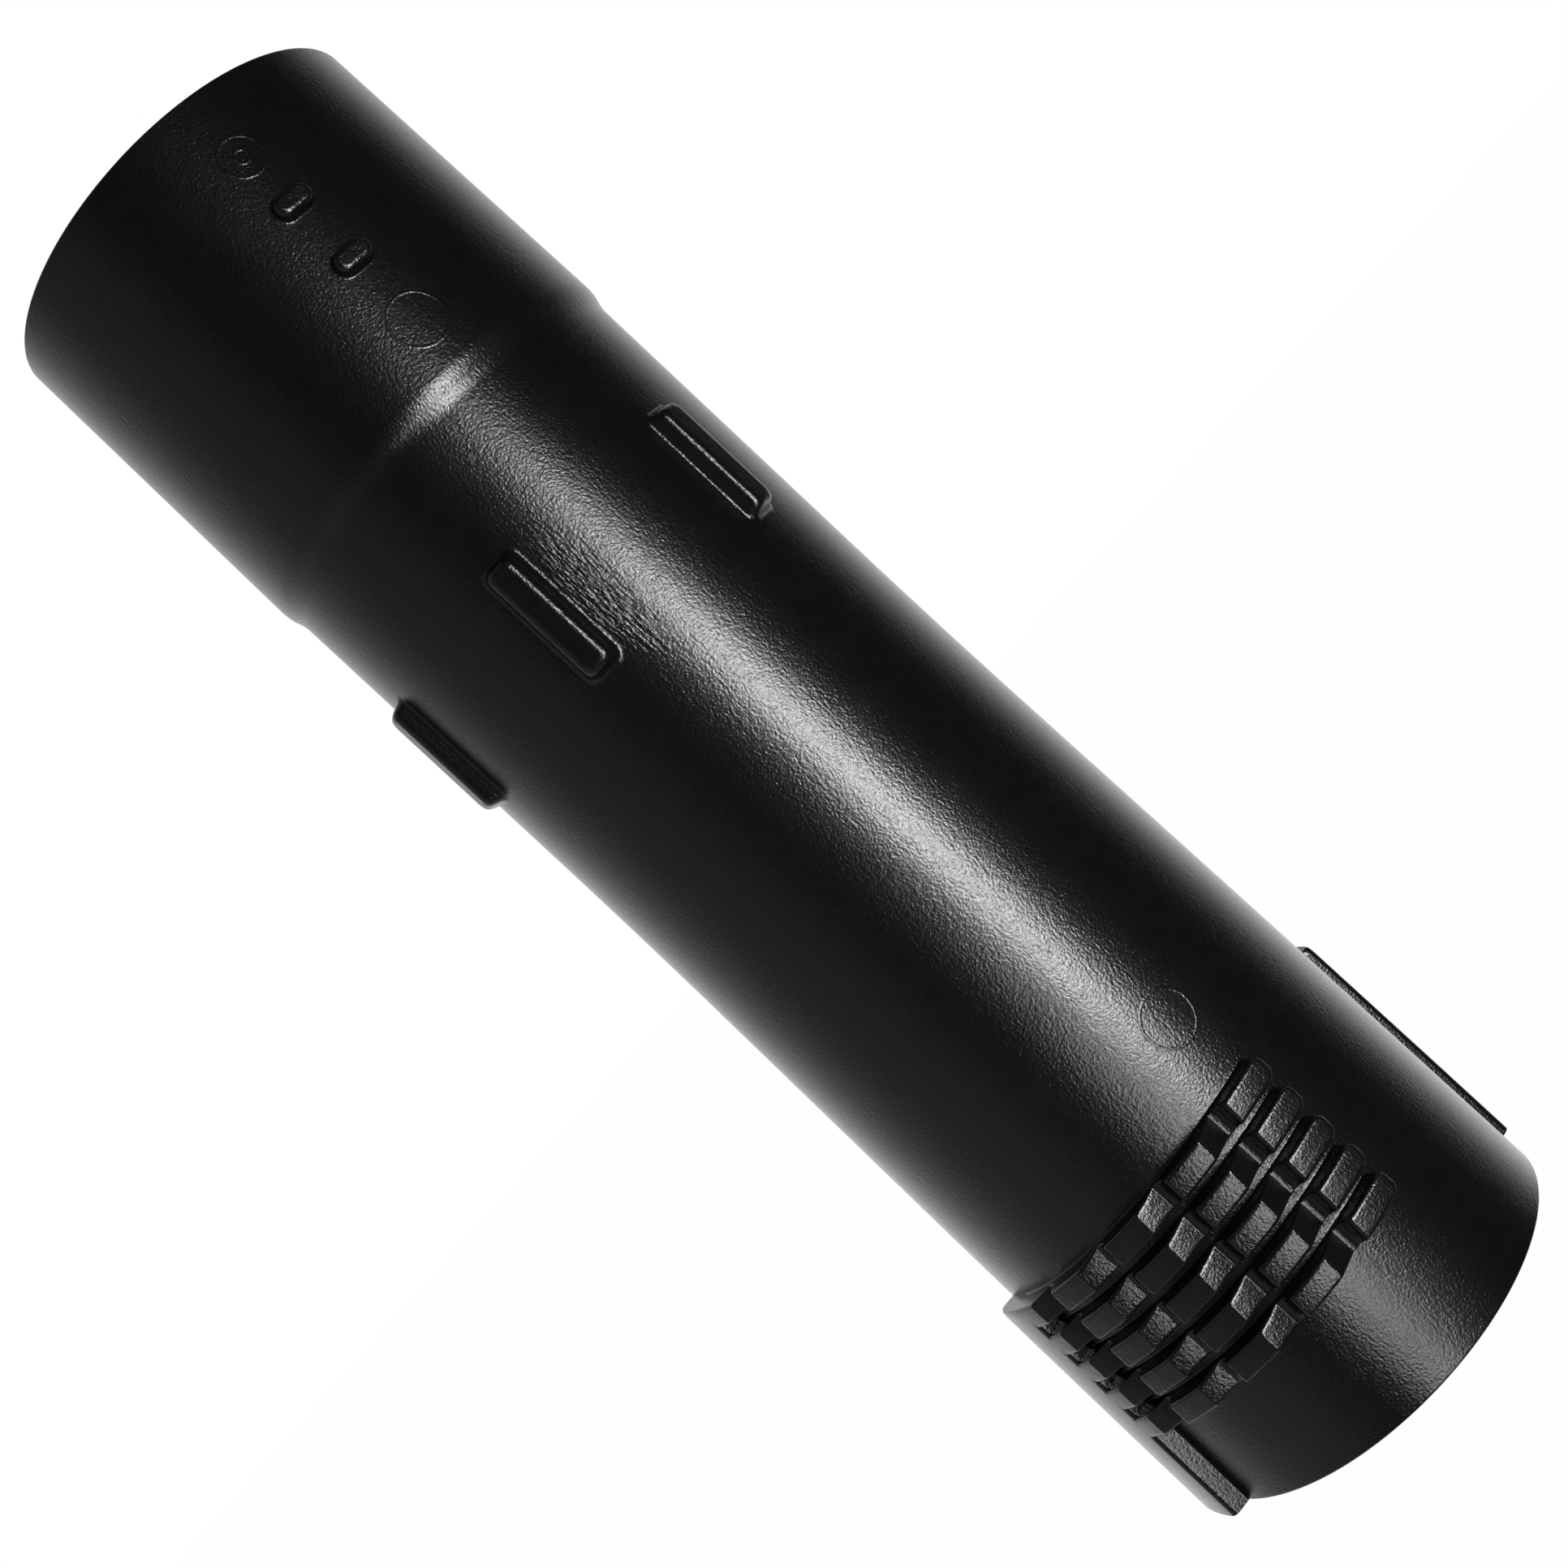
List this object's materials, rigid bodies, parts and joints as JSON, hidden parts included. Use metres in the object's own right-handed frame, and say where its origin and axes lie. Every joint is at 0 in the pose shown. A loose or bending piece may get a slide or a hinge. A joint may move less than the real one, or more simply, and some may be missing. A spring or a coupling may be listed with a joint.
{
  "type": "leaf blower nozzle tube",
  "caption": "Straight round blower nozzle tube with a plain socket sleeve at one end, locating lugs, and a twist-lock ratchet ladder with a closing rail on each side of the other end.",
  "frame": {"origin": "centre of the rim at the ladder end, on the tube's axis", "axes": "+Z along the axis towards the sleeve; -Y is the side with the stop nubs and the first ladder; +X is to the right of that side"},
  "size_m": [0.0896, 0.0914, 0.2966],
  "materials": {
    "body": "satin"
  },
  "bodies": {
    "root": {"nozzle_tube": "body"}
  },
  "joints": []
}
